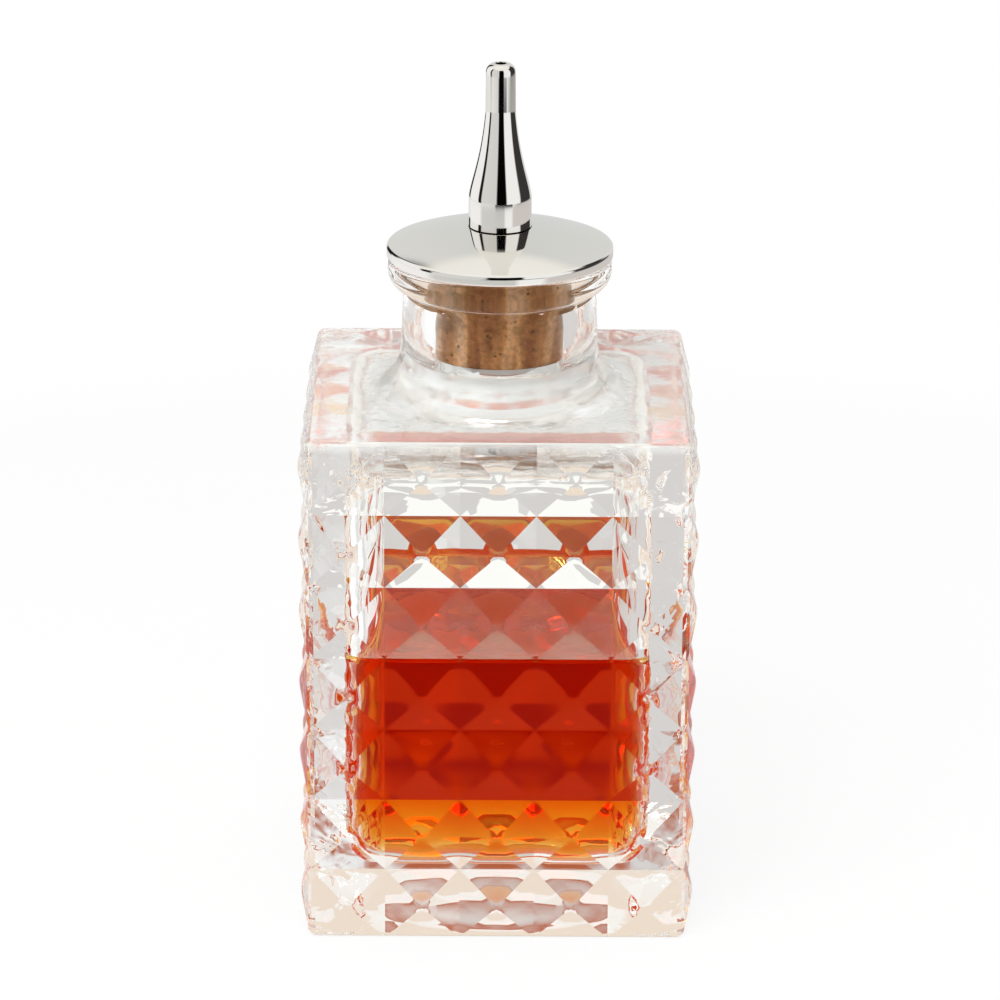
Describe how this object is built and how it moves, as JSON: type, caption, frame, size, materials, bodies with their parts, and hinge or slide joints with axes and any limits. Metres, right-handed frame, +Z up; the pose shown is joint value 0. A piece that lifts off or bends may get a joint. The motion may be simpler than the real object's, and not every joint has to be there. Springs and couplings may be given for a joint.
{
  "type": "bitters bottle",
  "caption": "Square glass bottle with pyramid studs, half full of bitters, closed by a cork under a domed metal cap with a turned dasher spout.",
  "frame": {"origin": "middle of the base, on the surface that the bottle stands on", "axes": "+Z up along the neck, -Y out of the front face, +X to the right"},
  "size_m": [0.0632, 0.0632, 0.137],
  "materials": {
    "clear_glass": "polished",
    "bitters": "polished",
    "cork": "matte",
    "polished_steel": "polished",
    "turned_steel": "satin"
  },
  "bodies": {
    "bottle": {"glass_bottle": "clear_glass", "bitters_fill": "bitters"},
    "stopper": {"cork_stopper": "cork", "dome_cap": "polished_steel", "pour_spout": "polished_steel", "stem_tube": "turned_steel", "retaining_washer": "turned_steel", "retaining_nut": "turned_steel"}
  },
  "joints": [
    {"name": "stopper_lift", "type": "slide", "parent": "bottle", "child": "stopper", "axis": [0, 0, 1], "range_m": [0, 0.04]}
  ]
}
